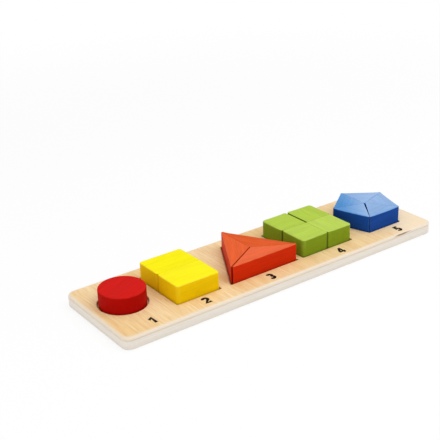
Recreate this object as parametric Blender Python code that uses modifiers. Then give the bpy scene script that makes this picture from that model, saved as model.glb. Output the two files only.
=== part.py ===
# Fraction board: a wooden board of two glued sheets, with five recesses for loose blocks.
# From left to right they hold a disc, an oblong in halves, a triangle in thirds, a square in quarters
# and a pentagon in fifths.
# Metres, +Z up. The origin is in the middle of the underside. +X runs from the disc to the pentagon,
# and the front edge, whose strip carries the printed numerals, is at -Y.

from math import cos, pi, radians, sin, tan

import bmesh
import bpy
from mathutils import Matrix, Vector

# Sheets of the board
BASE_SHEET_THICKNESS = 0.0082
TOP_SHEET_THICKNESS = 0.0028     # also the depth of the recesses
BOARD_CORNER_RADIUS = 0.0080
UPPER_RIM_RADIUS = 0.0018        # rounding along the board's upper rim
LOWER_RIM_RADIUS = 0.0010        # and along its lower one

# Wood left around the recesses
FRONT_STRIP = 0.0204             # board's front edge to the recesses' straight fronts
BACK_STRIP = 0.0120              # deepest recess to the board's back edge
LEFT_END_WEB = 0.0083
DISC_OBLONG_WEB = 0.0107
OBLONG_TRIANGLE_WEB = 0.0092
TRIANGLE_SQUARE_WEB = 0.0046
SQUARE_PENTAGON_WEB = 0.0098
RIGHT_END_WEB = 0.0117

# Shapes that the blocks make up
DISC_DIAMETER = 0.0409
DISC_HEIGHT = 0.0174             # the disc is a little lower than the other blocks
DISC_SET_BACK = 0.0025           # its centre lies this far behind the oblong's
OBLONG_WIDTH = 0.0440
OBLONG_DEPTH = 0.0600
TRIANGLE_SIDE = 0.0750
SQUARE_SIDE = 0.0595
PENTAGON_SIDE = 0.0398
BLOCK_HEIGHT = 0.0188
BLOCK_EDGE_RADIUS = 0.0010

# Fits and clearances
CONTACT_GAP = 0.0003             # between surfaces that lie on each other
RECESS_CLEARANCE = 0.0009        # between a straight-sided shape and the wall of its recess
DISC_CLEARANCE = 0.0014          # between the disc and the wall of its recess
RECESS_CORNER_RADIUS = 0.0010
PIECE_GAP = 0.0005               # between neighbouring blocks of one shape
BACK_QUARTERS_OPENING = 0.0010   # the square's back pair stands this much wider apart than its front pair

# Facets of the round stretches
ROUND_FACETS = 64                # disc and its recess
BOARD_CORNER_STEPS = 8
RECESS_CORNER_STEPS = 3
EDGE_SEGMENTS = 3
SHARP_ANGLE = radians(30)        # edges that turn by more than this are sanded round

# Tolerances for merging and comparing points and faces
SAME_PLACE = 0.00001
SAME_PLANE = radians(0.5)


def srgb(red, green, blue):
    """Linear colour of an 8-bit display colour."""
    channels = [value / 255 for value in (red, green, blue)]
    linear = [c / 12.92 if c <= 0.04045 else ((c + 0.055) / 1.055) ** 2.4 for c in channels]
    return (*linear, 1.0)


def make_material(name, colour, roughness):
    material = bpy.data.materials.new(name)
    material.use_nodes = True
    shader = material.node_tree.nodes["Principled BSDF"]
    shader.inputs["Base Color"].default_value = colour
    shader.inputs["Roughness"].default_value = roughness
    shader.inputs["Metallic"].default_value = 0.0
    material.diffuse_color = colour
    return material


def rectangle(width, depth):
    """Corners of a rectangle about the origin, anticlockwise from the front left."""
    x, y = width / 2, depth / 2
    return [Vector((-x, -y)), Vector((x, -y)), Vector((x, y)), Vector((-x, y))]


def regular_polygon(sides, side_length):
    """Corners of a regular polygon about the origin, with one side straight along the front."""
    radius = side_length / (2 * sin(pi / sides))
    first = -pi / 2 - pi / sides
    angles = [first + step * 2 * pi / sides for step in range(sides)]
    return [Vector((radius * cos(angle), radius * sin(angle))) for angle in angles]


def inner_radius(sides, side_length):
    """Distance from a regular polygon's centre to its sides."""
    return side_length / (2 * tan(pi / sides))


def extent(points, axis):
    """Size of an outline along X (0) or Y (1)."""
    values = [point[axis] for point in points]
    return max(values) - min(values)


def rounded(points, radius, steps):
    """An outline with an arc of the given radius at each corner, which touches both sides."""
    result = []
    for index, corner in enumerate(points):
        before = (points[index - 1] - corner).normalized()
        after = (points[(index + 1) % len(points)] - corner).normalized()
        half_angle = before.angle(after) / 2
        centre = corner + (before + after).normalized() * radius / sin(half_angle)
        arm = corner + before * radius / tan(half_angle) - centre
        sweep = pi - 2 * half_angle
        for step in range(steps + 1):
            result.append(centre + Matrix.Rotation(sweep * step / steps, 2) @ arm)
    return result


# The two sheets and the blocks in height
top_sheet_bottom = BASE_SHEET_THICKNESS + CONTACT_GAP
block_bottom = BASE_SHEET_THICKNESS + CONTACT_GAP
block_middle = block_bottom + BLOCK_HEIGHT / 2
disc_middle = block_bottom + DISC_HEIGHT / 2

# Outlines of the recesses, each about its own shape's centre
oblong_recess = rectangle(OBLONG_WIDTH + 2 * RECESS_CLEARANCE, OBLONG_DEPTH + 2 * RECESS_CLEARANCE)
triangle_recess = regular_polygon(3, TRIANGLE_SIDE + 2 * RECESS_CLEARANCE * tan(pi / 3))
square_recess = rectangle(SQUARE_SIDE + 2 * RECESS_CLEARANCE, SQUARE_SIDE + 2 * RECESS_CLEARANCE)
pentagon_recess = regular_polygon(5, PENTAGON_SIDE + 2 * RECESS_CLEARANCE * tan(pi / 5))
disc_recess_diameter = DISC_DIAMETER + 2 * DISC_CLEARANCE
polygon_recesses = (oblong_recess, triangle_recess, square_recess, pentagon_recess)

# The board is as long as its recesses and the webs beside them, and as deep as its deepest recess and
# the strips before and behind it
webs = (
    LEFT_END_WEB,
    DISC_OBLONG_WEB,
    OBLONG_TRIANGLE_WEB,
    TRIANGLE_SQUARE_WEB,
    SQUARE_PENTAGON_WEB,
    RIGHT_END_WEB,
)
recess_widths = [disc_recess_diameter] + [extent(outline, 0) for outline in polygon_recesses]
recess_depths = [disc_recess_diameter] + [extent(outline, 1) for outline in polygon_recesses]
board_length = sum(webs) + sum(recess_widths)
board_depth = FRONT_STRIP + max(recess_depths) + BACK_STRIP

# Centres of the shapes: the straight-sided ones share one front line
centres_x = []
run = -board_length / 2
for web, width in zip(webs, recess_widths):
    centres_x.append(run + web + width / 2)
    run += web + width
front_line = -board_depth / 2 + FRONT_STRIP + RECESS_CLEARANCE
oblong_centre_y = front_line + OBLONG_DEPTH / 2
disc_centre = Vector((centres_x[0], oblong_centre_y + DISC_SET_BACK))
oblong_centre = Vector((centres_x[1], oblong_centre_y))
triangle_centre = Vector((centres_x[2], front_line + inner_radius(3, TRIANGLE_SIDE)))
square_centre = Vector((centres_x[3], front_line + SQUARE_SIDE / 2))
pentagon_centre = Vector((centres_x[4], front_line + inner_radius(5, PENTAGON_SIDE)))


def plate_mesh(name, outline, thickness):
    """A flat closed plate about the origin, from a filled 2D curve, with one face on each flat."""
    curve = bpy.data.curves.new(name, "CURVE")
    curve.dimensions = "2D"
    curve.fill_mode = "BOTH"
    curve.extrude = thickness / 2
    spline = curve.splines.new("POLY")
    spline.points.add(len(outline) - 1)
    for point, place in zip(spline.points, outline):
        point.co = (place.x, place.y, 0.0, 1.0)
    spline.use_cyclic_u = True
    drawing = bpy.data.objects.new(name, curve)
    bpy.context.scene.collection.objects.link(drawing)
    mesh = bpy.data.meshes.new_from_object(drawing.evaluated_get(bpy.context.evaluated_depsgraph_get()))
    bpy.data.objects.remove(drawing)
    bpy.data.curves.remove(curve)
    mesh.name = name
    shape = bmesh.new()
    shape.from_mesh(mesh)
    bmesh.ops.remove_doubles(shape, verts=shape.verts, dist=SAME_PLACE)
    bmesh.ops.dissolve_limit(shape, angle_limit=SAME_PLANE, verts=shape.verts, edges=shape.edges)
    bmesh.ops.recalc_face_normals(shape, faces=shape.faces)
    shape.to_mesh(mesh)
    shape.free()
    return mesh


def round_rim(mesh, height, radius):
    """Rounds the sharp edges of a plate that lie at one height."""
    shape = bmesh.new()
    shape.from_mesh(mesh)
    rim = []
    for edge in shape.edges:
        level = all(abs(vertex.co.z - height) < SAME_PLACE for vertex in edge.verts)
        if level and edge.calc_face_angle() > SHARP_ANGLE:
            rim.append(edge)
    bmesh.ops.bevel(shape, geom=rim, offset=radius, segments=EDGE_SEGMENTS, profile=0.5, affect="EDGES")
    shape.to_mesh(mesh)
    shape.free()


def place(item, name, collection, material, location):
    """Gives an object its name, collection, material and place."""
    item.name = name
    for owner in list(item.users_collection):
        owner.objects.unlink(item)
    collection.objects.link(item)
    if material:
        item.data.materials.clear()
        item.data.materials.append(material)
    item.location = location
    return item


def add_plate(name, mesh, collection, material, location):
    return place(bpy.data.objects.new(name, mesh), name, collection, material, location)


def add_cylinder(name, diameter, height, collection, material, location):
    bpy.ops.mesh.primitive_cylinder_add(vertices=ROUND_FACETS, radius=diameter / 2, depth=height)
    return place(bpy.context.object, name, collection, material, location)


def add_box(name, size, collection, material, location):
    bpy.ops.mesh.primitive_cube_add(size=1.0)
    box = place(bpy.context.object, name, collection, material, location)
    box.data.transform(Matrix.Diagonal((*size, 1.0)))
    return box


def round_edges(item):
    """Sands a block's sharp edges round and shades its curved faces smooth."""
    edges = item.modifiers.new("rounded edges", "BEVEL")
    edges.width = BLOCK_EDGE_RADIUS
    edges.segments = EDGE_SEGMENTS
    edges.limit_method = "ANGLE"
    edges.angle_limit = SHARP_ANGLE
    item.data.shade_smooth()
    item.data.set_sharp_from_angle(angle=SHARP_ANGLE)


def cut(item, cutter):
    """Takes a cutter's shape out of an object, and keeps the cutter out of the render."""
    hole = item.modifiers.new(cutter.name, "BOOLEAN")
    hole.operation = "DIFFERENCE"
    hole.solver = "EXACT"
    hole.object = cutter
    cutter.hide_render = True
    cutter.display_type = "WIRE"


def build_board(parts, cutters):
    """The base sheet, and the top sheet with a cut-out for each shape."""
    outline = rounded(rectangle(board_length, board_depth), BOARD_CORNER_RADIUS, BOARD_CORNER_STEPS)

    base_mesh = plate_mesh("base_sheet", outline, BASE_SHEET_THICKNESS)
    round_rim(base_mesh, -BASE_SHEET_THICKNESS / 2, LOWER_RIM_RADIUS)
    base_wood = make_material("base_wood", srgb(228, 218, 200), 0.6)
    add_plate("base_sheet", base_mesh, parts, base_wood, (0, 0, BASE_SHEET_THICKNESS / 2))

    top_mesh = plate_mesh("top_sheet", outline, TOP_SHEET_THICKNESS)
    round_rim(top_mesh, TOP_SHEET_THICKNESS / 2, UPPER_RIM_RADIUS)
    top_wood = make_material("top_wood", srgb(243, 211, 158), 0.5)
    top_middle = top_sheet_bottom + TOP_SHEET_THICKNESS / 2
    top_sheet = add_plate("top_sheet", top_mesh, parts, top_wood, (0, 0, top_middle))

    cutter_height = 2 * TOP_SHEET_THICKNESS  # stands out above and below the sheet
    disc_place = (*disc_centre, top_middle)
    disc_cutter = add_cylinder("disc_recess", disc_recess_diameter, cutter_height, cutters, None, disc_place)
    cut(top_sheet, disc_cutter)
    for name, recess, centre in (
        ("oblong_recess", oblong_recess, oblong_centre),
        ("triangle_recess", triangle_recess, triangle_centre),
        ("square_recess", square_recess, square_centre),
        ("pentagon_recess", pentagon_recess, pentagon_centre),
    ):
        recess_outline = rounded(recess, RECESS_CORNER_RADIUS, RECESS_CORNER_STEPS)
        recess_mesh = plate_mesh(name, recess_outline, cutter_height)
        cut(top_sheet, add_plate(name, recess_mesh, cutters, None, (*centre, top_middle)))


def build_disc(parts):
    paint = make_material("red_paint", srgb(205, 28, 24), 0.35)
    disc = add_cylinder("disc", DISC_DIAMETER, DISC_HEIGHT, parts, paint, (*disc_centre, disc_middle))
    round_edges(disc)


def build_oblong(parts):
    """Two halves, one behind the other."""
    paint = make_material("yellow_paint", srgb(250, 232, 30), 0.35)
    size = (OBLONG_WIDTH, (OBLONG_DEPTH - PIECE_GAP) / 2, BLOCK_HEIGHT)
    step = (size[1] + PIECE_GAP) / 2
    for name, side in (("front", -1), ("back", 1)):
        location = (oblong_centre.x, oblong_centre.y + side * step, block_middle)
        round_edges(add_box(f"oblong_{name}_half", size, parts, paint, location))


def build_square(parts):
    """Four quarters in two pairs. The back pair stands a little further apart."""
    paint = make_material("green_paint", srgb(165, 205, 75), 0.35)
    edge = (SQUARE_SIDE - PIECE_GAP) / 2
    step = (edge + PIECE_GAP) / 2
    for row, along_y, opening in (("front", -1, 0.0), ("back", 1, BACK_QUARTERS_OPENING)):
        for column, along_x in (("left", -1), ("right", 1)):
            x = square_centre.x + along_x * (step + opening / 2)
            y = square_centre.y + along_y * step
            name = f"square_{row}_{column}_quarter"
            round_edges(add_box(name, (edge, edge, BLOCK_HEIGHT), parts, paint, (x, y, block_middle)))


def build_sectors(parts, shape, sides, side_length, centre, names, paint):
    """A regular polygon cut from its centre to its corners. Each block stands on one of the polygon's
    sides, starting with the front one and going round anticlockwise."""
    half_gap = PIECE_GAP / 2
    corner_x = side_length / 2 - half_gap / cos(pi / sides)
    side_y = -inner_radius(sides, side_length)
    tip_y = -half_gap / sin(pi / sides)
    middle_y = (tip_y + 2 * side_y) / 3
    outline = [Vector((-corner_x, side_y)), Vector((corner_x, side_y)), Vector((0, tip_y))]
    outline = [point - Vector((0, middle_y)) for point in outline]
    mesh = plate_mesh(f"{shape}_sector", outline, BLOCK_HEIGHT)
    for step, name in enumerate(names):
        turn = step * 2 * pi / sides
        x = centre.x - middle_y * sin(turn)
        y = centre.y + middle_y * cos(turn)
        sector = add_plate(f"{shape}_{name}", mesh, parts, paint, (x, y, block_middle))
        sector.rotation_euler.z = turn
        round_edges(sector)


def build_triangle(parts):
    paint = make_material("orange_paint", srgb(228, 72, 36), 0.35)
    names = ("front_third", "right_third", "left_third")
    build_sectors(parts, "triangle", 3, TRIANGLE_SIDE, triangle_centre, names, paint)


def build_pentagon(parts):
    paint = make_material("blue_paint", srgb(40, 98, 190), 0.35)
    names = ("front_fifth", "front_right_fifth", "back_right_fifth", "back_left_fifth", "front_left_fifth")
    build_sectors(parts, "pentagon", 5, PENTAGON_SIDE, pentagon_centre, names, paint)


def main():
    for item in list(bpy.data.objects):
        bpy.data.objects.remove(item)
    parts = bpy.data.collections.new("fraction_board")
    cutters = bpy.data.collections.new("cutters")
    for collection in (parts, cutters):
        bpy.context.scene.collection.children.link(collection)
    build_board(parts, cutters)
    build_disc(parts)
    build_oblong(parts)
    build_triangle(parts)
    build_square(parts)
    build_pentagon(parts)


main()
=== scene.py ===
# Looks of the fraction board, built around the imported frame: two lacquered wood sheets,
# fifteen painted blocks and the printed numerals. Metres, +Z up, the front edge at -Y.

import math

import bpy
import numpy as np
from mathutils import Matrix, Vector
from mathutils.geometry import delaunay_2d_cdt


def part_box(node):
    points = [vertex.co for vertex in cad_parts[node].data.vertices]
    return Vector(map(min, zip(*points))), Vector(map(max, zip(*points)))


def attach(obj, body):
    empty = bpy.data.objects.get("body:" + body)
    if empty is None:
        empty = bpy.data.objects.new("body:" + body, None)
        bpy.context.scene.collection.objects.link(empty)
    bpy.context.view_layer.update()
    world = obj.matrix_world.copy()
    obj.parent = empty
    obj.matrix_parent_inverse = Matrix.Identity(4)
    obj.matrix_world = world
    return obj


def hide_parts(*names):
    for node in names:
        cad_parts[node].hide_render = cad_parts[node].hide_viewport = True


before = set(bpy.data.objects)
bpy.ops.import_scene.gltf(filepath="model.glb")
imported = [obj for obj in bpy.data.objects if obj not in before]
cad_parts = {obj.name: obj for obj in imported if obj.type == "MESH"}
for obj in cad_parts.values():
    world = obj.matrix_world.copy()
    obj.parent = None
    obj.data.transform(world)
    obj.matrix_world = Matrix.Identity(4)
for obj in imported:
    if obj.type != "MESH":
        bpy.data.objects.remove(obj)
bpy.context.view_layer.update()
print("frame loaded:", len(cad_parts), "nodes")


def displayColour(red, green, blue):
    # 8-bit display values to the linear values that the shaders mix
    channels = np.array([red, green, blue]) / 255
    linear = np.where(channels <= 0.04045, channels / 12.92, ((channels + 0.055) / 1.055) ** 2.4)
    return (*linear.tolist(), 1.0)


# Shader helpers


def addNode(tree, kind, inputs=None, **settings):
    # a node with its settings, and each input either linked or given its value
    node = tree.nodes.new(kind)
    for name, value in settings.items():
        setattr(node, name, value)
    for name, value in (inputs or {}).items():
        if isinstance(value, bpy.types.NodeSocket):
            tree.links.new(value, node.inputs[name])
        else:
            node.inputs[name].default_value = value
    return node


def maths(tree, operation, first, second=0.0, clamp=False):
    inputs = {0: first, 1: second}
    return addNode(tree, "ShaderNodeMath", inputs, operation=operation, use_clamp=clamp).outputs[0]


def vectorMaths(tree, operation, first, second):
    return addNode(tree, "ShaderNodeVectorMath", {0: first, 1: second}, operation=operation).outputs[0]


def remap(tree, value, fromLow, fromHigh, toLow=0.0, toHigh=1.0):
    # a smooth step from toLow to toHigh while the value goes from fromLow to fromHigh
    inputs = {"Value": value, 1: fromLow, 2: fromHigh, 3: toLow, 4: toHigh}
    return addNode(tree, "ShaderNodeMapRange", inputs, interpolation_type="SMOOTHSTEP").outputs[0]


def blend(tree, amount, first, second, kind="MIX"):
    inputs = {0: amount, 6: first, 7: second}
    return addNode(tree, "ShaderNodeMix", inputs, data_type="RGBA", blend_type=kind).outputs[2]


def objectPlace(tree):
    return addNode(tree, "ShaderNodeTexCoord").outputs["Object"]


def attribute(tree, name, output="Fac"):
    return addNode(tree, "ShaderNodeAttribute", attribute_name=name).outputs[output]


def noise(tree, place, detail=2.0, roughness=0.5):
    inputs = {"Vector": place, "Scale": 1.0, "Detail": detail, "Roughness": roughness}
    return addNode(tree, "ShaderNodeTexNoise", inputs).outputs["Fac"]


def newGroup(name, inputs, outputs):
    # an empty group, the sockets that it is given and those that it fills
    tree = bpy.data.node_groups.new(name, "ShaderNodeTree")
    for label, kind in inputs.items():
        tree.interface.new_socket(name=label, in_out="INPUT", socket_type=kind)
    for label, kind in outputs.items():
        tree.interface.new_socket(name=label, in_out="OUTPUT", socket_type=kind)
    return tree, addNode(tree, "NodeGroupInput").outputs, addNode(tree, "NodeGroupOutput").inputs


def newMaterial(name):
    material = bpy.data.materials.new(name)
    material.use_nodes = True
    return material, material.node_tree, material.node_tree.nodes["Principled BSDF"]


def setRoughness(tree, shader, base, pattern, share):
    # the base roughness, raised by a share of the pattern
    rougher = maths(tree, "MULTIPLY", pattern, share)
    tree.links.new(maths(tree, "ADD", base, rougher), shader.inputs["Roughness"])


def setBump(tree, shader, relief, depth):
    # a relief of 1 stands out by the depth
    inputs = {"Height": relief, "Distance": depth, "Strength": 1.0}
    bump = addNode(tree, "ShaderNodeBump", inputs).outputs[0]
    tree.links.new(bump, shader.inputs["Normal"])


def evenVector(tree, length):
    # a vector whose three parts are all the given length
    return addNode(tree, "ShaderNodeCombineXYZ", {"X": length, "Y": length, "Z": length}).outputs[0]


grainPattern = {
    "driftScale": (11.0, 25.0, 25.0),    # how fast the fibres drift sideways, for each metre
    "bandScale": (0.3, 0.12, 0.12),      # growth bands against the streaks
    "poreScale": (3.0, 2.6, 2.6),        # and pores
    "driftNoise": (1.0, 0.5),            # detail and roughness of each noise
    "streakNoise": (4.0, 0.65),
    "bandNoise": (2.0, 0.5),
    "poreNoise": (1.0, 0.5),
    "streakRange": (0.3, 0.7),           # noise between which each pattern rises from 0 to 1
    "bandRange": (0.32, 0.68),
    "poreRange": (0.62, 0.76),
}


def makeGrainGroup(look):
    # straight-grained wood: noise stretched along the fibres, at three scales
    tree, given, result = newGroup(
        "wood grain",
        {"Place": "NodeSocketVector", "Fibre Length": "NodeSocketFloat", "Fibre Width": "NodeSocketFloat",
         "Wander": "NodeSocketFloat"},
        {"Streaks": "NodeSocketFloat", "Bands": "NodeSocketFloat", "Pores": "NodeSocketFloat"},
    )
    slow = vectorMaths(tree, "MULTIPLY", given["Place"], look["driftScale"])
    drift = noise(tree, slow, *look["driftNoise"])
    aside = maths(tree, "MULTIPLY", maths(tree, "SUBTRACT", drift, 0.5), given["Wander"])
    shift = addNode(tree, "ShaderNodeCombineXYZ", {"X": 0.0, "Y": aside, "Z": aside}).outputs[0]
    warped = vectorMaths(tree, "ADD", given["Place"], shift)
    size = addNode(
        tree, "ShaderNodeCombineXYZ",
        {"X": given["Fibre Length"], "Y": given["Fibre Width"], "Z": given["Fibre Width"]},
    ).outputs[0]
    fibres = vectorMaths(tree, "DIVIDE", warped, size)
    streaks = noise(tree, fibres, *look["streakNoise"])
    bands = noise(tree, vectorMaths(tree, "MULTIPLY", fibres, look["bandScale"]), *look["bandNoise"])
    pores = noise(tree, vectorMaths(tree, "MULTIPLY", fibres, look["poreScale"]), *look["poreNoise"])
    tree.links.new(remap(tree, streaks, *look["streakRange"]), result["Streaks"])
    tree.links.new(remap(tree, bands, *look["bandRange"]), result["Bands"])
    tree.links.new(remap(tree, pores, *look["poreRange"]), result["Pores"])
    return tree


rimHighlightPattern = {
    "blotchNoise": (3.0, 0.6),       # detail and roughness
    "blotchRange": (0.25, 0.7),      # noise over which a rim's share goes from the least to the whole
    "leastShare": 0.6,
    "highlightRange": (0.2, 1.0),       # a rim's strength over which its painted highlight goes from none to full
}


def makeRimHighlightGroup(look):
    # painted highlight along the rims: the rim attribute broken up by a blotchy noise
    tree, given, result = newGroup(
        "painted rim highlights",
        {"Rim": "NodeSocketFloat", "Place": "NodeSocketVector", "Blotch Size": "NodeSocketFloat"},
        {"Mask": "NodeSocketFloat"},
    )
    size = evenVector(tree, given["Blotch Size"])
    blotches = noise(tree, vectorMaths(tree, "DIVIDE", given["Place"], size), *look["blotchNoise"])
    share = remap(tree, blotches, *look["blotchRange"], look["leastShare"], 1.0)
    rimHighlight = remap(tree, maths(tree, "MULTIPLY", given["Rim"], share), *look["highlightRange"])
    tree.links.new(rimHighlight, result["Mask"])
    return tree


def addGrain(tree, place, look, fineness=1.0):
    # streaks, bands and pores of wood whose fibres run along X of the given place
    inputs = {
        "Place": place, "Fibre Length": look["fibreLength"] / fineness,
        "Fibre Width": look["fibreWidth"] / fineness, "Wander": look["wander"],
    }
    return addNode(tree, "ShaderNodeGroup", inputs, node_tree=grainGroup).outputs


grainGroup = makeGrainGroup(grainPattern)
rimHighlightGroup = makeRimHighlightGroup(rimHighlightPattern)
print("node groups made")


# Surfaces


def unit(vectors):
    return vectors / np.linalg.norm(vectors, axis=-1, keepdims=True)


def compass(angles):
    # unit vectors that point at these angles
    return np.stack([np.cos(angles), np.sin(angles)], -1)


def roundedOutline(corners, radii, arcSteps, sideSteps):
    # Outline of a convex polygon, corners given anticlockwise. Corner k is an arc about c_k with
    # radius r_k that touches both sides; along side k, point = lerp(end of arc k, start of arc k+1).
    # Returns the points, their outward normals, how far each is from the nearer arc along its side
    # and 1 for the points on arcs, 0 for the others. Each corner's arc comes before its side.
    arriving = unit(corners - np.roll(corners, 1, 0))
    normalIn = np.stack([arriving[:, 1], -arriving[:, 0]], -1)
    normalOut = np.roll(normalIn, -1, 0)
    cross = normalIn[:, 0] * normalOut[:, 1] - normalIn[:, 1] * normalOut[:, 0]
    turn = np.arctan2(cross, (normalIn * normalOut).sum(-1))
    setback = (radii * np.tan(turn / 2))[:, None]
    centres = corners - arriving * setback - normalIn * radii[:, None]
    start = np.arctan2(normalIn[:, 1], normalIn[:, 0])
    angles = start[:, None] + turn[:, None] * np.linspace(0, 1, arcSteps + 1)
    arcNormals = compass(angles)
    arcs = centres[:, None] + radii[:, None, None] * arcNormals
    sideStart, sideEnd = arcs[:, -1], np.roll(arcs[:, 0], -1, 0)
    share = (1 - np.cos(np.linspace(0, math.pi, sideSteps + 1)[1:-1])) / 2
    sides = sideStart[:, None] + (sideEnd - sideStart)[:, None] * share[:, None]
    sideNormals = np.repeat(normalOut[:, None], len(share), 1)
    lengths = np.linalg.norm(sideEnd - sideStart, axis=-1)[:, None]
    distance = lengths * np.minimum(share, 1 - share)
    points = np.concatenate([arcs, sides], 1).reshape(-1, 2)
    normals = np.concatenate([arcNormals, sideNormals], 1).reshape(-1, 2)
    distances = np.concatenate([np.zeros(angles.shape), distance], 1).ravel()
    onArc = np.concatenate([np.ones(angles.shape), np.zeros(distance.shape)], 1).ravel()
    return points, normals, distances, onArc


def shellFaces(ringCount, pointCount):
    # quads between neighbouring rings of a closed tube, counted ring by ring
    ring = np.arange(ringCount - 1)[:, None] * pointCount
    here = np.arange(pointCount)
    following = (here + 1) % pointCount
    above = ring + pointCount
    quads = np.stack([ring + here, ring + following, above + following, above + here], -1)
    return quads.reshape(-1, 4)


def cappedShell(rings):
    # rings of points from the bottom centre to the top centre, closed by a fan at each end
    ringCount, pointCount = rings.shape[:2]
    quads = shellFaces(ringCount, pointCount)
    poles = rings[[0, -1]].mean(1)
    here = np.arange(pointCount)
    following = (here + 1) % pointCount
    low, high = ringCount * pointCount, ringCount * pointCount + 1
    last = (ringCount - 1) * pointCount
    fanLow = np.stack([following, here, np.full(pointCount, low)], -1)
    fanHigh = np.stack([last + here, last + following, np.full(pointCount, high)], -1)
    vertices = np.concatenate([rings.reshape(-1, 3), poles])
    return vertices, quads.tolist() + fanLow.tolist() + fanHigh.tolist()


sandingLook = {
    "waves": 5,
    "lengths": (0.010, 0.032),     # shortest and longest wave
}


def sanding(points, seed, depth):
    # how far hand sanding takes the surface in: depth times the mean, brought to 0..1, of a few
    # waves sin(2 pi p.d / length + phase) with seeded directions d, lengths and phases
    rng = np.random.default_rng(seed)
    directions = unit(rng.normal(size=(sandingLook["waves"], 3)))
    lengths = rng.uniform(*sandingLook["lengths"], sandingLook["waves"])
    phases = rng.uniform(0, 2 * math.pi, sandingLook["waves"])
    waves = np.sin(points @ (directions / lengths[:, None]).T * 2 * math.pi + phases)
    return depth * (0.5 + 0.5 * waves.mean(-1))


def addMesh(name, points, faces, material, attributes):
    # a smooth-shaded object at the origin; each attribute holds a number or a vector for each point
    mesh = bpy.data.meshes.new(name)
    mesh.from_pydata(points.tolist(), [], faces)
    for label, values in attributes.items():
        kind, field = ("FLOAT_VECTOR", "vector") if values.ndim == 2 else ("FLOAT", "value")
        layer = mesh.attributes.new(label, kind, "POINT")
        layer.data.foreach_set(field, values.astype(np.float32).ravel())
    mesh.shade_smooth()
    mesh.materials.append(material)
    item = bpy.data.objects.new(name, mesh)
    bpy.context.scene.collection.objects.link(item)
    return item


def nodePoints(*names):
    # all vertices of these CAD nodes
    clouds = []
    for name in names:
        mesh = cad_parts[name].data
        cloud = np.empty(len(mesh.vertices) * 3, np.float32)
        mesh.vertices.foreach_get("co", cloud)
        clouds.append(cloud.reshape(-1, 3).astype(float))
    return np.concatenate(clouds)


def convexCorners(points, sideAngles, outward=0.0):
    # corners of the prism whose sides face these angles: side k lies on n_k.p = max(n_k.points),
    # moved out by outward, and corner k is where side k-1 meets side k
    normals = compass(np.radians(sideAngles))
    reach = (points[:, :2] @ normals.T).max(0) + outward
    pairs = np.stack([np.roll(normals, 1, 0), normals], 1)
    reaches = np.stack([np.roll(reach, 1), reach], -1)[..., None]
    return np.linalg.solve(pairs, reaches)[..., 0]


# Board

woodLook = {
    "top": displayColour(243, 214, 160),
    "topDark": displayColour(221, 172, 106),
    "topPale": displayColour(250, 229, 188),
    "pore": displayColour(198, 140, 78),
    "upperEdge": displayColour(235, 220, 199),
    "lowerEdge": displayColour(237, 229, 218),
    "edgeDark": displayColour(221, 212, 198),
    "cut": displayColour(198, 148, 98),        # walls of the recesses, darker brown
    "fibreLength": 0.030,
    "fibreWidth": 0.0010,
    "wander": 0.006,
    "grainTurn": math.pi / 2,                  # fibres run across the board
    "bandShare": 0.5,                          # how strongly bands, streaks and pores show on the face
    "streakShare": 0.6,
    "poreShare": 0.5,
    "paleShift": (-0.39, -0.32, 0.0),          # moves the slow changes from pale to dark
    "paleScale": (7.0, 16.0, 16.0),
    "paleDetail": 2.0,
    "paleRange": (0.35, 0.75),
    "paleShare": 0.7,
    "paintedLightEnd": (0.118, 0.150),                 # between these painted light pales the wood towards the right end
    "paintedLightColour": displayColour(243, 227, 203),
    "paintedLightShare": 0.6,
    "layerSize": (0.030, 0.030, 0.0010),       # length and thickness of the layers seen in the edges
    "layerNoise": (4.0, 0.65),                 # detail and roughness
    "layerRange": (0.3, 0.7),
    "layerShare": 0.45,                        # how strongly layers, the darkening towards the bottom and pores show there
    "bottomDarkeningShare": 0.45,
    "edgePoreShare": 0.25,
    "roughness": 0.48,
    "streakRoughness": 0.14,                   # streaks are this much rougher
    "specular": 0.35,
    "bumpDepth": 0.00004,
    "darkStreak": (0.1323, -0.0499, 0.0100),   # a mineral streak in the front edge
    "darkStreakSize": (0.0115, 0.0012, 0.0008),
    "darkStreakRange": (1.7, 0.9),             # from clear wood to the streak, in its own sizes
    "darkStreakColour": displayColour(146, 118, 92),
    "sheetJoint": 0.0084,
    "bottomDarkening": (0.0037, 0.0033),              # between these heights the edge turns darker towards the bottom
}


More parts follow.
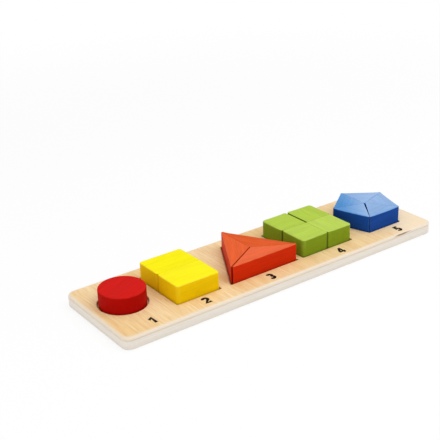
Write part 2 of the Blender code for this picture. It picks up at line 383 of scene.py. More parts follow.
def makeWood(name, look):
    material, tree, shader = newMaterial(name)
    place = objectPlace(tree)
    flat = attribute(tree, "flat")
    cut = attribute(tree, "cut")
    inputs = {"Vector": place, "Angle": look["grainTurn"]}
    along = addNode(tree, "ShaderNodeVectorRotate", inputs, rotation_type="Z_AXIS").outputs[0]
    streaks, bands, pores = addGrain(tree, along, look)
    row, _, height = addNode(tree, "ShaderNodeSeparateXYZ", {0: place}).outputs

    # lacquered face: pale and dark growth bands, fine streaks and short pores, and painted light paling it
    # towards the right end
    shifted = vectorMaths(tree, "ADD", along, look["paleShift"])
    slow = noise(tree, vectorMaths(tree, "MULTIPLY", shifted, look["paleScale"]), look["paleDetail"])
    face = blend(tree, maths(tree, "MULTIPLY", bands, look["bandShare"]), look["top"], look["topDark"])
    face = blend(tree, remap(tree, slow, *look["paleRange"], 0.0, look["paleShare"]), face, look["topPale"])
    face = blend(tree, maths(tree, "MULTIPLY", streaks, look["streakShare"]), face, look["topDark"])
    face = blend(tree, maths(tree, "MULTIPLY", pores, look["poreShare"]), face, look["pore"])
    # painted light: paler towards the right end
    face = blend(tree, remap(tree, row, *look["paintedLightEnd"], 0.0, look["paintedLightShare"]), face, look["paintedLightColour"])

    # bare edge: paler, warmer in the upper sheet, with thin layers and a little darker towards the bottom
    layers = noise(tree, vectorMaths(tree, "DIVIDE", place, look["layerSize"]), *look["layerNoise"])
    layers = remap(tree, layers, *look["layerRange"])
    lower = remap(tree, height, *look["bottomDarkening"])
    upper = maths(tree, "GREATER_THAN", height, look["sheetJoint"])
    edge = blend(tree, upper, look["lowerEdge"], look["upperEdge"])
    for pattern, share in ((layers, "layerShare"), (lower, "bottomDarkeningShare"), (pores, "edgePoreShare")):
        edge = blend(tree, maths(tree, "MULTIPLY", pattern, look[share]), edge, look["edgeDark"])

    # dark streak: the distance from its middle, in its own sizes, roughened by the layers
    away = vectorMaths(tree, "DIVIDE", vectorMaths(tree, "SUBTRACT", place, look["darkStreak"]),
                       look["darkStreakSize"])
    reach = addNode(tree, "ShaderNodeVectorMath", {0: away}, operation="LENGTH").outputs["Value"]
    stain = remap(tree, maths(tree, "ADD", reach, layers), *look["darkStreakRange"])

    colour = blend(tree, flat, edge, face)
    colour = blend(tree, cut, colour, look["cut"])
    colour = blend(tree, stain, colour, look["darkStreakColour"])
    tree.links.new(colour, shader.inputs["Base Color"])
    setRoughness(tree, shader, look["roughness"], streaks, look["streakRoughness"])
    shader.inputs["Specular IOR Level"].default_value = look["specular"]
    setBump(tree, shader, maths(tree, "SUBTRACT", streaks, pores), look["bumpDepth"])
    return material


boardLook = {
    "cornerRadius": 0.0080,
    "upperRim": 0.0021,          # rounding along the top of the upper sheet
    "lowerRim": 0.0012,          # and along the bottom of the lower one
    "jointRim": 0.00020,         # rims that face each other at the glue line
    "sharpRim": 0.00005,
    "recessRim": 0.00045,
    "recessCorner": 0.0012,
    "recessReach": 0.0025,       # walls of a recess lie at most this far from its blocks
    "support": 0.0005,           # flat strip between a rim and the open face
    "paintedHighlightReach": 0.0016,         # the same beside the outer rim, where the bare rim's pale colour fades into the face as a painted highlight
    "highlightRimFlatness": 0.6,          # how much the inner end of the outer rim looks like the face; the rest is painted highlight
    "flatPower": 8,              # higher keeps a rim bare closer to its inner end
    "unevenness": 0.00005,
    "cornerSteps": 20,
    "sideSteps": 40,
    "roundRecessSteps": 128,
    "recessCornerSteps": 8,
    "recessSideSteps": 16,
    "rimSteps": 6,
    "baseWallRows": 6,
    "topWallRows": 3,
    "baseSeed": 7,
    "topSeed": 8,
}


def rimProfile(low, high, lowRim, highRim, wallRows):
    # profile of a wall with rounded rims: at angle a of a rim with radius r, inset = r (1 - cos a)
    # and height = its end of the wall -+ r (1 - sin a); also how much each row looks like the face
    turn = np.linspace(0, math.pi / 2, boardLook["rimSteps"] + 1)
    lowTurn = turn[::-1]
    inset = [lowRim * (1 - np.cos(lowTurn)), np.zeros(wallRows), highRim * (1 - np.cos(turn))]
    wall = np.linspace(low + lowRim, high - highRim, wallRows + 2)[1:-1]
    height = [low + lowRim * (1 - np.sin(lowTurn)), wall, high - highRim * (1 - np.sin(turn))]
    power = boardLook["flatPower"]
    flat = [np.sin(lowTurn) ** power, np.zeros(wallRows), np.sin(turn) ** power]
    return (np.concatenate(part) for part in (inset, height, flat))


def wallRings(points, normals, inset, height):
    # the profile carried along the outline: p - n inset, at each height
    level = points[None] - normals[None] * inset[:, None, None]
    return np.concatenate([level, np.broadcast_to(height[:, None, None], (*level.shape[:2], 1))], -1)


def boardOutline(node):
    # points and outward normals of a sheet seen from above: the CAD box with round corners
    low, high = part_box(node)
    corners = np.array([(low.x, low.y), (high.x, low.y), (high.x, high.y), (low.x, high.y)])
    radii = np.full(len(corners), boardLook["cornerRadius"])
    return roundedOutline(corners, radii, boardLook["cornerSteps"], boardLook["sideSteps"])[:2]


def makeBaseSheet(wood):
    # The lower sheet: the rim profile carried round the outline, closed by flat faces
    low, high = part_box("base_sheet")
    points, normals = boardOutline("base_sheet")
    inset, height, flat = rimProfile(
        low.z, high.z, boardLook["lowerRim"], boardLook["jointRim"], boardLook["baseWallRows"])
    support = boardLook["support"]
    inset = np.concatenate([[inset[0] + support], inset, [inset[-1] + support]])
    height = np.concatenate([height[:1], height, height[-1:]])
    flat = np.concatenate([[1.0], flat, [1.0]])
    rings = wallRings(points, normals, inset, height)
    wave = sanding(rings, boardLook["baseSeed"], boardLook["unevenness"])
    rings[..., :2] -= normals[None] * (wave * (1 - flat[:, None]))[..., None]
    vertices, faces = cappedShell(rings)
    flatness = np.concatenate([np.repeat(flat, len(points)), [1.0, 1.0]])
    sheet = addMesh("baseSheet", vertices, faces, wood, {"flat": flatness, "cut": np.zeros(len(vertices))})
    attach(sheet, "board")
    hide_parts("base_sheet")


def recessOutline(nodes, sideAngles):
    # walls of one recess, read from the upper sheet's own vertices around the blocks that fill it
    sheet = nodePoints("top_sheet")
    blockPoints = nodePoints(*nodes)
    if sideAngles is None:
        middle = (blockPoints.min(0) + blockPoints.max(0))[:2] / 2
        blockRadius = blockPoints[:, 0].max() - middle[0]
        away = np.linalg.norm(sheet[:, :2] - middle, axis=-1)
        radius = away[away < blockRadius + boardLook["recessReach"]].max()
        normals = compass(np.linspace(0, 2 * math.pi, boardLook["roundRecessSteps"], endpoint=False))
        return middle + radius * normals, normals
    facing = compass(np.radians(sideAngles))
    reach = (blockPoints[:, :2] @ facing.T).max(0)
    near = ((sheet[:, :2] @ facing.T) - reach).max(-1) < boardLook["recessReach"]
    corners = convexCorners(sheet[near], sideAngles)
    radii = np.full(len(corners), boardLook["recessCorner"])
    return roundedOutline(corners, radii, boardLook["recessCornerSteps"], boardLook["recessSideSteps"])[:2]


insideWithHoles = 2     # the kind of triangulation that fills the outer loop and leaves the holes
samePlace = 1e-7        # points closer than this count as one


def addPiercedSheet(name, material, loops, low, high, seed):
    # A sheet with openings. Each loop holds points, outward normals, 1 for the outer wall or -1 for
    #     # the wall of an opening, and its upper and lower rims: the rim profile is carried round every
    #     # loop, and flat faces with holes join the loops above and below. A strip is the flat beside a
    #     # wall, and how much the end of the wall's rim looks like the face. Beside the outer wall the
    #     # strip is wider and the rim's pale colour runs into the face as a painted highlight.
    highlightStrip = boardLook["paintedHighlightReach"], boardLook["highlightRimFlatness"]
    innerStrip = boardLook["support"], 1.0
    vertices, faces, flats, cuts = [], [], [], []
    topLoops, bottomLoops = [], []
    count = 0
    for points, normals, side, topRim, bottomRim in loops:
        inset, height, flat = rimProfile(low, high, bottomRim, topRim, boardLook["topWallRows"])
        support, flatness = highlightStrip if side > 0 else innerStrip
        inset = np.concatenate([[inset[0] + support], inset, [inset[-1] + support]]) * side
        height = np.concatenate([height[:1], height, height[-1:]])
        flat = np.concatenate([[1.0], flat * flatness, [1.0]])
        rings = wallRings(points, normals, inset, height)
        wave = sanding(rings, seed, boardLook["unevenness"])
        rings[..., :2] -= side * normals[None] * (wave * (1 - flat[:, None]))[..., None]
        quads = shellFaces(len(rings), len(points))[:, ::side] + count
        vertices.append(rings.reshape(-1, 3))
        faces += quads.tolist()
        flats.append(np.repeat(flat, len(points)))
        cuts.append(np.repeat((1 - flat) * (side < 0), len(points)))
        bottomLoops.append(np.arange(len(points)) + count)
        topLoops.append(np.arange(len(points)) + count + (len(rings) - 1) * len(points))
        count += rings.shape[0] * rings.shape[1]
    vertices = np.concatenate(vertices)
    for chosen, turn in ((topLoops, 1), (bottomLoops, -1)):
        order = np.concatenate(chosen)
        ends = np.cumsum([len(loop) for loop in chosen]).tolist()
        outlines = [list(range(end - len(loop), end)) for loop, end in zip(chosen, ends)]
        places = [Vector(place) for place in vertices[order, :2].tolist()]
        filled = delaunay_2d_cdt(places, [], outlines, insideWithHoles, samePlace)[2]
        faces += order[np.array(filled)][:, ::turn].tolist()
    attributes = {"flat": np.concatenate(flats), "cut": np.concatenate(cuts)}
    sheet = addMesh(name, vertices, faces, material, attributes)
    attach(sheet, "board")
    return sheet


def makeTopSheet(wood, openings):
    # the upper sheet, pierced by the recesses
    low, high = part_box("top_sheet")
    loops = [(*boardOutline("top_sheet"), 1, boardLook["upperRim"], boardLook["jointRim"])]
    loops += [(points, normals, -1, boardLook["recessRim"], boardLook["sharpRim"])
              for points, normals in openings]
    sheet = addPiercedSheet("topSheet", wood, loops, low.z, high.z, boardLook["topSeed"])
    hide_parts("top_sheet")


glueLook = {
    "inset": 0.00025,                # stops this far inside every edge
    "clearance": 0.00004,
    "colour": displayColour(222, 205, 176),
    "dark": displayColour(200, 178, 146),
    "patchScale": (90.0, 90.0, 90.0),
    "patchDetail": 3.0,
    "patchRange": (0.2, 0.8),        # noise over which the roughness goes through its own range
    "roughness": (0.35, 0.6),
    "seed": 9,
}


def makeGlue(openings, look):
    # film of glue between the sheets, with the same openings
    rim = boardLook["sharpRim"]
    points, normals = boardOutline("base_sheet")
    loops = [(points - normals * look["inset"], normals, 1, rim, rim)]
    loops += [(points + normals * look["inset"], normals, -1, rim, rim) for points, normals in openings]
    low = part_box("base_sheet")[1].z + look["clearance"]
    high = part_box("top_sheet")[0].z - look["clearance"]
    material, tree, shader = newMaterial("wood glue")
    place = objectPlace(tree)
    patches = noise(tree, vectorMaths(tree, "MULTIPLY", place, look["patchScale"]), look["patchDetail"])
    tree.links.new(blend(tree, patches, look["colour"], look["dark"]), shader.inputs["Base Color"])
    roughness = remap(tree, patches, *look["patchRange"], *look["roughness"])
    tree.links.new(roughness, shader.inputs["Roughness"])
    addPiercedSheet("glueFilm", material, loops, low, high, look["seed"])


# Blocks

# Each paint: its colour on the faces, a darker copy on the sides as painted shade, and a paler one
# # along the rims as painted highlight; how much of it is kept in a groove's painted shade where a
# # seam comes out; how strongly grain and the painted rim highlight show, and its finish
paintLooks = {
    "red_paint": {"face": displayColour(212, 14, 6), "side": displayColour(178, 10, 4),
                  "rimHighlight": displayColour(226, 66, 44), "grooveShade": (0.60, 0.15, 0.10, 1.0),
                  "grain": 0.7, "highlightShare": 0.22, "roughness": 0.50, "specular": 0.05},
    "yellow_paint": {"face": displayColour(253, 240, 3), "side": displayColour(243, 201, 3),
                     "rimHighlight": displayColour(255, 246, 105), "grooveShade": (0.80, 0.70, 0.20, 1.0),
                     "grain": 0.45, "highlightShare": 0.25, "roughness": 0.50, "specular": 0.05},
    "orange_paint": {"face": displayColour(235, 90, 20), "side": displayColour(209, 44, 7),
                     "rimHighlight": displayColour(246, 142, 88), "grooveShade": (0.60, 0.15, 0.10, 1.0),
                     "grain": 0.9, "highlightShare": 0.40, "roughness": 0.42, "specular": 0.10},
    "green_paint": {"face": displayColour(178, 206, 55), "side": displayColour(129, 153, 30),
                    "rimHighlight": displayColour(210, 230, 124), "grooveShade": (0.25, 0.30, 0.02, 1.0),
                    "grain": 0.7, "highlightShare": 0.50, "roughness": 0.42, "specular": 0.25},
    "blue_paint": {"face": displayColour(84, 154, 222), "side": displayColour(28, 76, 164),
                   "rimHighlight": displayColour(140, 196, 252), "grooveShade": (0.10, 0.31, 0.43, 1.0),
                   "grain": 1.2, "highlightShare": 0.60, "roughness": 0.40, "specular": 0.5,
                   "dulling": 0.15, "coat": 0.8},
}
commonFinish = {
    # every paint has these, unless it says otherwise
    "coat": 0.0,
    "coatRoughness": 0.22,
    "sideSpecular": 0.03,
    "fibreLength": 0.020,
    "fibreWidth": 0.0007,
    "wander": 0.004,
    "streakShade": (0.66, 0.66, 0.66, 1.0),    # paint over the darkest fibres keeps this much
    "grainShares": (0.5, 0.3, 0.5),            # how strongly streaks, bands and pores show
    "blotchSize": 0.006,
    "bumpDepth": 0.00005,
    "poreDepth": 0.6,                          # depth of the pores against the streaks
    "streakRoughness": 0.12,                   # streaks are this much rougher
    "toneShare": 0.10,                         # change in brightness for a tone of 1
    "toneGloss": 0.5,                          # and in the strength of the clear coat
    "dulling": 0.05,                           # and in how dull the faces are
}


def makePaint(name, look):
    # satin paint brushed on wood: the grain shows through a little, the rims are paler as painted
    #     # highlight, and the sides and seam grooves darker as painted shade
    material, tree, shader = newMaterial(name)
    place = attribute(tree, "grainPlace", "Vector")
    grain = addGrain(tree, place, look)
    streaks, _, pores = grain
    inputs = {"Rim": attribute(tree, "rim"), "Place": place, "Blotch Size": look["blotchSize"]}
    rimHighlight = addNode(tree, "ShaderNodeGroup", inputs, node_tree=rimHighlightGroup).outputs["Mask"]

    upright = attribute(tree, "upright")
    level = maths(tree, "SUBTRACT", 1.0, upright)
    # the sides get the darker copy: painted shade
    colour = blend(tree, upright, look["face"], look["side"])
    for pattern, share in zip(grain, look["grainShares"]):
        amount = maths(tree, "MULTIPLY", pattern, share * look["grain"])
        colour = blend(tree, amount, colour, look["streakShade"], "MULTIPLY")
    # the rims paler: painted highlight
    colour = blend(tree, maths(tree, "MULTIPLY", rimHighlight, look["highlightShare"]), colour, look["rimHighlight"])
    # painted shade in the seam grooves
    colour = blend(tree, attribute(tree, "grooveShade"), colour, look["grooveShade"], "MULTIPLY")
    tone = attribute(tree, "tone")
    brightness = maths(tree, "ADD", 1.0, maths(tree, "MULTIPLY", tone, look["toneShare"]))
    dullness = maths(tree, "MULTIPLY", maths(tree, "MULTIPLY", tone, level), look["dulling"])
    inputs = {"Saturation": maths(tree, "SUBTRACT", 1.0, dullness), "Value": brightness, "Color": colour}
    colour = addNode(tree, "ShaderNodeHueSaturation", inputs).outputs[0]
    tree.links.new(colour, shader.inputs["Base Color"])
    setRoughness(tree, shader, look["roughness"], streaks, look["streakRoughness"])
    specular = remap(tree, level, 0.0, 1.0, look["sideSpecular"], look["specular"])
    tree.links.new(specular, shader.inputs["Specular IOR Level"])
    gloss = maths(tree, "ADD", 1.0, maths(tree, "MULTIPLY", tone, look["toneGloss"]))
    coat = maths(tree, "MULTIPLY", maths(tree, "MULTIPLY", level, look["coat"]), gloss, True)
    tree.links.new(coat, shader.inputs["Coat Weight"])
    shader.inputs["Coat Roughness"].default_value = look["coatRoughness"]
    relief = maths(tree, "SUBTRACT", streaks, maths(tree, "MULTIPLY", pores, look["poreDepth"]))
    setBump(tree, shader, relief, look["bumpDepth"])
    return material


blockLook = {
    "outerCorner": 0.0030,       # upright edges between two outer sides
    "seamCorner": 0.0020,        # upright edges where a seam meets an outer side at a right angle
    "sharpCorner": 0.00045,      # and where it meets one at a sharper angle
    "innerCorner": 0.00035,      # upright edges where two seams meet
    "outerRim": 0.0010,
    "seamRim": 0.00022,
    "rimGrowth": 0.15,           # a rim widens this much for each metre away from its upright edge
    "shutSeam": 0.00020,         # how far a side at a shut seam stands out past its CAD side
    "openSeam": -0.00025,        # and a side at an open one, which is drawn back
    "wedgeSeam": 0.00013,        # and the outer end of a side at a seam that opens towards the middle
    "wedge": 0.0007,             # the tip of the block is drawn back this far there
    "unevenness": 0.00006,
    "cornerHighlight": 0.45,       # upright edges take this share of the rims' painted highlight
    "grooveShadeFade": 1.2,           # power with which the painted shade in a groove darkens towards its seam
    "arcSteps": 8,
    "sideSteps": 16,
    "discSteps": 160,
    "rimSteps": 6,
    "wallRows": 6,
    "flatRows": (0.03, 0.2, 0.55),   # rings on a flat end, as shares of the way to its middle
}


def polygonSides(count):
    # side angles of a regular polygon, or of a rectangle, from the side that faces the front
    return tuple(-90 + side * 360 / count for side in range(count))


def sectorSides(count, step):
    # side angles of one of its sectors: the outer side, then the two seams
    return tuple(angle + step * 360 / count for angle in (-90, 180 / count, 180 - 180 / count))


# Each block: its paint, which sides are shut seams (s), open ones (o), ones that open towards the
# # middle (w) or outer sides (.), how far its grain is turned in degrees or its place in the ring of
# # sectors, and its tone, how much paler or darker it is drawn. The fifths' tones are a painted
# # reflection, paler and glossier to the right and front and deeper blue towards the back left, where
# # less is reflected: theirs are the tones at the two outer corners and at the tip
disc = ("red_paint", 20, 0.0)
rectangles = {
    "oblong_front_half": ("yellow_paint", "..s.", 0, 0.1),
    "oblong_back_half": ("yellow_paint", "s...", 0, -0.1),
    "square_front_left_quarter": ("green_paint", ".ss.", 0, 0.3),
    "square_front_right_quarter": ("green_paint", "..ss", 90, 0.6),
    "square_back_left_quarter": ("green_paint", "so..", 0, -0.3),
    "square_back_right_quarter": ("green_paint", "s..o", 90, -0.4),
}
sectors = {
    "triangle_front_third": ("orange_paint", ".so", 3, 0, 0.6),
    "triangle_right_third": ("orange_paint", ".ss", 3, 1, -0.8),
    "triangle_left_third": ("orange_paint", ".os", 3, 2, 0.1),
    "pentagon_front_fifth": ("blue_paint", ".sw", 5, 0, (0.1, 0.1, 0.5)),
    "pentagon_front_right_fifth": ("blue_paint", ".ss", 5, 1, (0.2, 0.6, 0.5)),
    "pentagon_back_right_fifth": ("blue_paint", ".ss", 5, 2, (1.2, -0.3, 0.6)),
    "pentagon_back_left_fifth": ("blue_paint", ".ss", 5, 3, (-1.0, -2.9, 0.5)),
    "pentagon_front_left_fifth": ("blue_paint", ".ws", 5, 4, (-1.9, 0.6, 0.6)),
}
recessSides = {"oblong": 4, "triangle": 3, "square": 4, "pentagon": 5}
firstSeeds = {"disc": 20, "rectangles": 30, "sectors": 40}     # each next block takes the next number


def blockRings(points, normals, rims, low, high, seed):
    # Surface of a block: point(u, v) = outline(u) - normal(u) r(u) (1 - cos a(v)), with the height
    # low + r(u) (1 - sin a) on the lower rim, high - r(u) (1 - sin a) on the upper one, and even
    # rows between; each flat end then runs in straight lines to the middle. Returns the rings, how
    # upright the surface is along each and how much each point lies on a rim.
    turn = np.linspace(0, math.pi / 2, blockLook["rimSteps"] + 1)
    lowTurn, highTurn = turn[::-1, None], turn[:, None]
    rows = np.linspace(0, 1, blockLook["wallRows"] + 2)[1:-1, None]
    none = np.zeros_like(rows)
    inset = np.concatenate([rims * (1 - np.cos(lowTurn)), rims * none, rims * (1 - np.cos(highTurn))])
    height = np.concatenate([
        low + rims * (1 - np.sin(lowTurn)),
        low + rims + rows * (high - low - 2 * rims),
        high - rims * (1 - np.sin(highTurn)),
    ])
    upright = np.concatenate([np.cos(lowTurn), np.ones_like(rows), np.cos(highTurn)])
    rim = np.concatenate([np.sin(2 * lowTurn), none, np.sin(2 * highTurn)])
    level = points[None] - normals[None] * inset[..., None]
    rings = np.concatenate([level, height[..., None]], -1)
    middle = points.mean(0)
    inward = np.array(blockLook["flatRows"])[:, None, None]
    flatLow = rings[0] + (np.append(middle, low) - rings[0]) * inward[::-1]
    flatHigh = rings[-1] + (np.append(middle, high) - rings[-1]) * inward
    rings = np.concatenate([flatLow, rings, flatHigh])
    flat = np.zeros((len(inward), 1))
    upright = np.concatenate([flat, upright, flat])
    rim = np.concatenate([flat, rim, flat])
    worn = sanding(rings, seed, blockLook["unevenness"])[..., None]
    lift = np.sqrt(1 - upright ** 2)
    lift[:len(rings) // 2] *= -1
    outward = np.concatenate([
        normals[None] * upright[..., None],
        np.broadcast_to(lift[..., None], (*rings.shape[:2], 1)),
    ], -1)
    return rings - outward * worn, upright, np.broadcast_to(rim, rings.shape[:2])


def addBlock(name, node, outline, rims, onArc, grooveShade, paint, grainTurn, tones, seed):
    # one painted block round its outline; the tone at a point is tones[0] + x tones[1] + y tones[2]
    low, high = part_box(node)
    points, normals = outline
    rings, upright, rim = blockRings(points, normals, rims, low.z, high.z, seed)
    vertices, faces = cappedShell(rings)
    # upright corner arcs take a share of the painted rim highlight
    rim = np.maximum(rim, upright * onArc[None] * blockLook["cornerHighlight"])
    offset = np.random.default_rng(seed).uniform(-1, 1, 3)   # no two blocks are cut from one place
    turned = np.array(Matrix.Rotation(-math.radians(grainTurn), 3, "Z"))
    ends = [0.0, 0.0]
    attributes = {
        "grainPlace": (vertices - vertices.mean(0)) @ turned.T + offset,
        "rim": np.append(rim.ravel(), ends),
        "upright": np.append(np.repeat(upright.ravel(), len(points)), ends),
        "grooveShade": np.append((upright * grooveShade[None]).ravel(), ends),
        "tone": tones[0] + vertices[:, :2] @ tones[1:],
    }
    block = addMesh(name, vertices, faces, paints[paint], attributes)
    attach(block, node)
    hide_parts(node)


def toneAcross(tone, corners=None):
    # a tone for the whole block, or one for each of its three corners, as a + b x + c y
    if np.isscalar(tone):
        return np.array([tone, 0.0, 0.0])
    return np.linalg.solve(np.column_stack([np.ones(len(corners)), corners]), np.array(tone))


def addPrism(node, paint, sides, sideAngles, grainTurn, tone, seed):
    # A block with straight sides: the CAD block's sides, each moved out by its seam's reach, with a
    # radius for each upright corner and a rim width r(u) = min(nearer corner's rim + growth times
    # the distance from its arc, the side's own rim)
    seam = np.array([side in "sow" for side in sides])
    reach = {".": 0.0, "s": blockLook["shutSeam"], "o": blockLook["openSeam"], "w": blockLook["wedgeSeam"]}
    corners = convexCorners(nodePoints(node), sideAngles, np.array([reach[side] for side in sides]))
    # at a wedge the tip moves along the block's other seam, towards that seam's outer corner
    for side, outer in ((1, 0), (2, 1)):
        if sides[side] == "w":
            corners[2] += unit(corners[outer] - corners[2]) * blockLook["wedge"]
    # corner k lies between side k-1 and side k, and seams counts how many of the two are seams
    seams = seam.astype(int) + np.roll(seam, 1)
    seamCorner = blockLook["seamCorner"] if len(sides) > 3 else blockLook["sharpCorner"]
    radii = np.array([blockLook["outerCorner"], seamCorner, blockLook["innerCorner"]])[seams]
    points, normals, distance, onArc = roundedOutline(
        corners, radii, blockLook["arcSteps"], blockLook["sideSteps"])
    perCorner = blockLook["arcSteps"] + blockLook["sideSteps"]
    cornerOf = np.repeat(np.arange(len(sides)), perCorner)
    sideRim = np.where(seam, blockLook["seamRim"], blockLook["outerRim"])
    cornerRim = np.minimum(radii, np.minimum(sideRim, np.roll(sideRim, 1)))
    step = np.tile(np.arange(perCorner), len(sides))
    nearNext = step > blockLook["arcSteps"] + blockLook["sideSteps"] / 2
    nearest = cornerRim[(cornerOf + nearNext) % len(sides)]
    grown = np.minimum(nearest + distance * blockLook["rimGrowth"], sideRim[cornerOf])
    rims = np.where(onArc > 0, cornerRim[cornerOf], grown)
    # painted shade in the grooves, darkest where an arc runs into its seam
    alongArc = np.minimum(step / blockLook["arcSteps"], 1)
    seamAfter, seamBefore = seam[cornerOf], np.roll(seam, 1)[cornerOf]
    intoSeam, outOfSeam = seamAfter & ~seamBefore, seamBefore & ~seamAfter
    fade = blockLook["grooveShadeFade"]
    grooveShade = onArc * (intoSeam * alongArc ** fade + outOfSeam * (1 - alongArc) ** fade)
    name = "".join(word.capitalize() if index else word for index, word in enumerate(node.split("_")))
    tones = toneAcross(tone, corners)
    addBlock(name, node, (points, normals), rims, onArc, grooveShade, paint, grainTurn, tones, seed)


def addDisc(node, paint, grainTurn, tone, seed):
    # a round block: a circle as wide as the CAD disc, with no seams
    low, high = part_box(node)
    middle = np.array([(low.x + high.x) / 2, (low.y + high.y) / 2])
    normals = compass(np.linspace(0, 2 * math.pi, blockLook["discSteps"], endpoint=False))
    points = middle + normals * (high.x - low.x) / 2
    rims = np.full(len(points), blockLook["outerRim"])
    none = np.zeros(len(points))
    tones = toneAcross(tone)
    addBlock("redDisc", node, (points, normals), rims, none, none, paint, grainTurn, tones, seed)


# Numerals

numeralLook = {
    "height": 0.0097,
    "strokeWidth": 0.29,         # as a share of the height
    "closedNumerals": "4",       # strokes round a closed counter are this much as wide
    "closedStroke": 0.8,
    "boxMiddle": (0.33, 0.5),    # of the box in which the pen strokes are drawn
    "thickness": 0.00004,
    "overprint": 0.000005,       # each further stroke lies this much higher
    "longestMitre": 1.25,        # how far a sharp bend may reach past the pen's half width
    "ink": displayColour(10, 5, 1),
    "inkWorn": displayColour(40, 24, 10),
    "wornShare": 0.4,            # how strongly the wear shows
    "fineness": 3.5,             # it is this much finer than the wood's grain
    "roughness": 0.6,
    "poreRoughness": 0.2,        # pores are this much rougher
    "specular": 0.08,
}
numeralPlaces = {
    "1": (-0.1414, -0.0372),
    "2": (-0.0889, -0.0381),
    "3": (-0.0198, -0.0391),
    "4": (0.0619, -0.0401),
    "5": (0.1364, -0.0401),
}


def penArc(middle, radius, start, end, count=14):
    # points at the given angles in degrees, both ends included
    x, y = middle
    angles = np.radians(np.linspace(start, end, count))
    return [(x + radius * math.cos(angle), y + radius * math.sin(angle)) for angle in angles]


# Pen strokes of each numeral in a box one high and 0.66 wide
penStrokes = {
    "1": [[(0.08, 0.66), (0.40, 0.90), (0.40, 0.0)]],
    "2": [penArc((0.32, 0.66), 0.23, 170, -38) + [(0.10, 0.10), (0.62, 0.10)]],
    "3": [penArc((0.31, 0.69), 0.20, 155, -95), penArc((0.31, 0.30), 0.22, 95, -155)],
    "4": [[(0.50, 0.0), (0.50, 1.0)], [(0.44, 0.92), (0.06, 0.30)], [(-0.02, 0.27), (0.72, 0.27)]],
    "5": [[(0.58, 0.90), (0.20, 0.90), (0.15, 0.50)] + penArc((0.31, 0.32), 0.23, 118, -150)],
}


def makeInk(look):
    # matt black ink, worn a little along the wood's fibres
    material, tree, shader = newMaterial("printing ink")
    place = objectPlace(tree)
    streaks, _, pores = addGrain(tree, place, woodLook, look["fineness"])
    worn = maths(tree, "MULTIPLY", streaks, look["wornShare"])
    tree.links.new(blend(tree, worn, look["ink"], look["inkWorn"]), shader.inputs["Base Color"])
    setRoughness(tree, shader, look["roughness"], pores, look["poreRoughness"])
    shader.inputs["Specular IOR Level"].default_value = look["specular"]
    return material


def strokeSlab(path, halfWidth, low, high, longestMitre):
    # A thin slab drawn by a pen: station p of the path gives p +- m w, where m is the unit bisector
    # of the normals of the two legs that meet there, over the cosine of half their turn
    path = np.array(path)
    legs = unit(np.diff(path, axis=0))
    before = np.concatenate([legs[:1], legs])
    after = np.concatenate([legs, legs[-1:]])
    bisector = unit(before + after)
    cosine = (bisector * before).sum(-1, keepdims=True)
    aside = np.stack([-bisector[:, 1], bisector[:, 0]], -1) * np.minimum(1 / cosine, longestMitre)
    left, right = path + aside * halfWidth, path - aside * halfWidth
    section = np.stack([left, right, right, left], 1)
    heights = np.broadcast_to(np.array([low, low, high, high])[None, :, None], (len(path), 4, 1))
    points = np.concatenate([section, heights], -1).reshape(-1, 3)
    ends = np.array([np.arange(4), len(points) - 1 - np.arange(4)])
    return points, np.concatenate([shellFaces(len(path), 4)[:, ::-1], ends])


def addNumeral(digit, place, look, ink):
    # each numeral is centred on its place, a hair above the board's face
    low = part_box("top_sheet")[1].z + look["overprint"]
    halfWidth = look["strokeWidth"] * look["height"] / 2
    if digit in look["closedNumerals"]:
        halfWidth *= look["closedStroke"]
    vertices, faces, count = [], [], 0
    for layer, stroke in enumerate(penStrokes[digit]):
        path = (np.array(stroke) - look["boxMiddle"]) * look["height"] + place
        high = low + look["thickness"] + layer * look["overprint"]
        points, slabFaces = strokeSlab(path, halfWidth, low, high, look["longestMitre"])
        vertices.append(points)
        faces += (slabFaces + count).tolist()
        count += len(points)
    numeral = addMesh(f"numeral{digit}", np.concatenate(vertices), faces, ink, {})
    numeral.data.shade_flat()
    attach(numeral, "board")


# Assembly

wood = makeWood("lacquered wood", woodLook)
makeBaseSheet(wood)
openings = [recessOutline(["disc"], None)]
for shape, sideCount in recessSides.items():
    blocks = [node for node in (*rectangles, *sectors) if node.startswith(shape)]
    openings.append(recessOutline(blocks, polygonSides(sideCount)))
makeTopSheet(wood, openings)
makeGlue(openings, glueLook)
print("board made")

paints = {name: makePaint(name.replace("_", " "), {**commonFinish, **look})
          for name, look in paintLooks.items()}
addDisc("disc", *disc, firstSeeds["disc"])
for seed, (node, block) in enumerate(rectangles.items(), firstSeeds["rectangles"]):
    paint, sides, grainTurn, tone = block
    addPrism(node, paint, sides, polygonSides(4), grainTurn, tone, seed)
for seed, (node, block) in enumerate(sectors.items(), firstSeeds["sectors"]):
    paint, sides, count, step, tone = block
    addPrism(node, paint, sides, sectorSides(count, step), step * 360 / count, tone, seed)
print("blocks made")

ink = makeInk(numeralLook)
for digit, place in numeralPlaces.items():
    addNumeral(digit, place, numeralLook, ink)
print("numerals made")


# Stage, light and camera

stageLook = {
    "floorSize": 8.0,
    "floorDrop": 0.0002,         # floor lies this far below the board
    "floorColour": (0.92, 0.92, 0.92, 1.0),
    "shown": 0.82,               # share of plain white in the floor that the camera sees
    "plainRange": (1.1 / 3, 1.1),  # between these it turns to nothing but white
    "skyStrength": 0.62,
}
lamps = {
    # place, size and power of each soft lamp, all aimed at the board
    "overhead": ((0.25, -0.20, 1.10), 1.2, 6.6),
    "front right": ((0.90, -0.95, 0.65), 0.9, 2.0),
    "left": ((-1.00, -0.30, 0.50), 0.8, 2.2),
}
cameraLook = {
    "place": (-0.47678, -0.59940, 0.38777),
    "yaw": 0.6245,               # heading to the right of +Y
    "pitch": 0.4187,             # below the horizon
    "roll": 0.0316,
    "focalPixels": 930.0,
    "imagePixels": 440.0,
    "sensorWidth": 36.0,         # in millimetres
    "clipStart": 0.01,
}


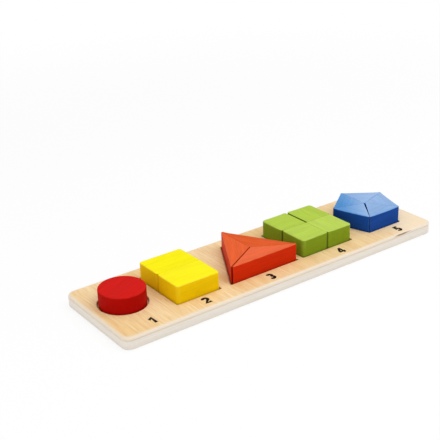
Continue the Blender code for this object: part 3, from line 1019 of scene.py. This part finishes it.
def seenByEye(tree):
    # 1 for the camera and for mirror and glass rays, 0 for light on the object
    path = addNode(tree, "ShaderNodeLightPath").outputs
    seen = maths(tree, "ADD", path["Is Camera Ray"], path["Is Glossy Ray"])
    return maths(tree, "ADD", seen, path["Is Transmission Ray"], True)


def makeFloor(look):
    # matt under the board, so that it takes its shadow, and plain white to the eye further out
    bpy.ops.mesh.primitive_plane_add(size=look["floorSize"], location=(0, 0, -look["floorDrop"]))
    floor = bpy.context.object
    floor.name = "floor"
    material = bpy.data.materials.new("pale floor")
    material.use_nodes = True
    tree = material.node_tree
    tree.nodes.clear()
    matt = addNode(tree, "ShaderNodeBsdfDiffuse", {"Color": look["floorColour"]}).outputs[0]
    white = addNode(tree, "ShaderNodeEmission", {"Color": (1, 1, 1, 1), "Strength": 1.0}).outputs[0]
    place = objectPlace(tree)
    away = addNode(tree, "ShaderNodeVectorMath", {0: place}, operation="LENGTH").outputs["Value"]
    shown = remap(tree, away, *look["plainRange"], look["shown"], 1.0)
    share = maths(tree, "MULTIPLY", seenByEye(tree), shown)
    mixed = addNode(tree, "ShaderNodeMixShader", {0: share, 1: matt, 2: white}).outputs[0]
    addNode(tree, "ShaderNodeOutputMaterial", {"Surface": mixed})
    floor.data.materials.append(material)


def makeSky(look):
    # even light on the object, and plain white to the eye
    world = bpy.data.worlds.new("soft sky")
    world.use_nodes = True
    bpy.context.scene.world = world
    tree = world.node_tree
    tree.nodes.clear()
    inputs = {0: seenByEye(tree), 2: look["skyStrength"], 3: 1.0}
    strength = addNode(tree, "ShaderNodeMix", inputs).outputs[0]
    sky = addNode(tree, "ShaderNodeBackground", {"Color": (1, 1, 1, 1), "Strength": strength}).outputs[0]
    addNode(tree, "ShaderNodeOutputWorld", {"Surface": sky})


def addLamp(name, place, size, power):
    lamp = bpy.data.lights.new(name, "AREA")
    lamp.size = size
    lamp.energy = power
    item = bpy.data.objects.new(name, lamp)
    item.location = place
    item.rotation_euler = (-Vector(place)).to_track_quat("-Z", "Y").to_euler()
    bpy.context.scene.collection.objects.link(item)


def makeCamera(look):
    # fitted to the photograph: turned by yaw, then pitched down, then rolled about its view
    camera = bpy.data.cameras.new("camera")
    camera.sensor_width = look["sensorWidth"]
    camera.lens = look["focalPixels"] / look["imagePixels"] * look["sensorWidth"]
    camera.clip_start = look["clipStart"]
    yaw, pitch, roll = look["yaw"], look["pitch"], look["roll"]
    ahead = Vector((math.sin(yaw) * math.cos(pitch), math.cos(yaw) * math.cos(pitch), -math.sin(pitch)))
    right = Vector((math.cos(yaw), -math.sin(yaw), 0))
    down = ahead.cross(right)
    tiltedRight = right * math.cos(roll) + down * math.sin(roll)
    tiltedDown = down * math.cos(roll) - right * math.sin(roll)
    item = bpy.data.objects.new("camera", camera)
    turned = Matrix((tiltedRight, -tiltedDown, -ahead)).transposed().to_4x4()
    item.matrix_world = Matrix.Translation(look["place"]) @ turned
    bpy.context.scene.collection.objects.link(item)
    bpy.context.scene.camera = item


makeFloor(stageLook)
makeSky(stageLook)
for name, (place, size, power) in lamps.items():
    addLamp(name, place, size, power)
makeCamera(cameraLook)
bpy.context.scene.view_settings.view_transform = "Standard"
print("stage, lamps and camera set")
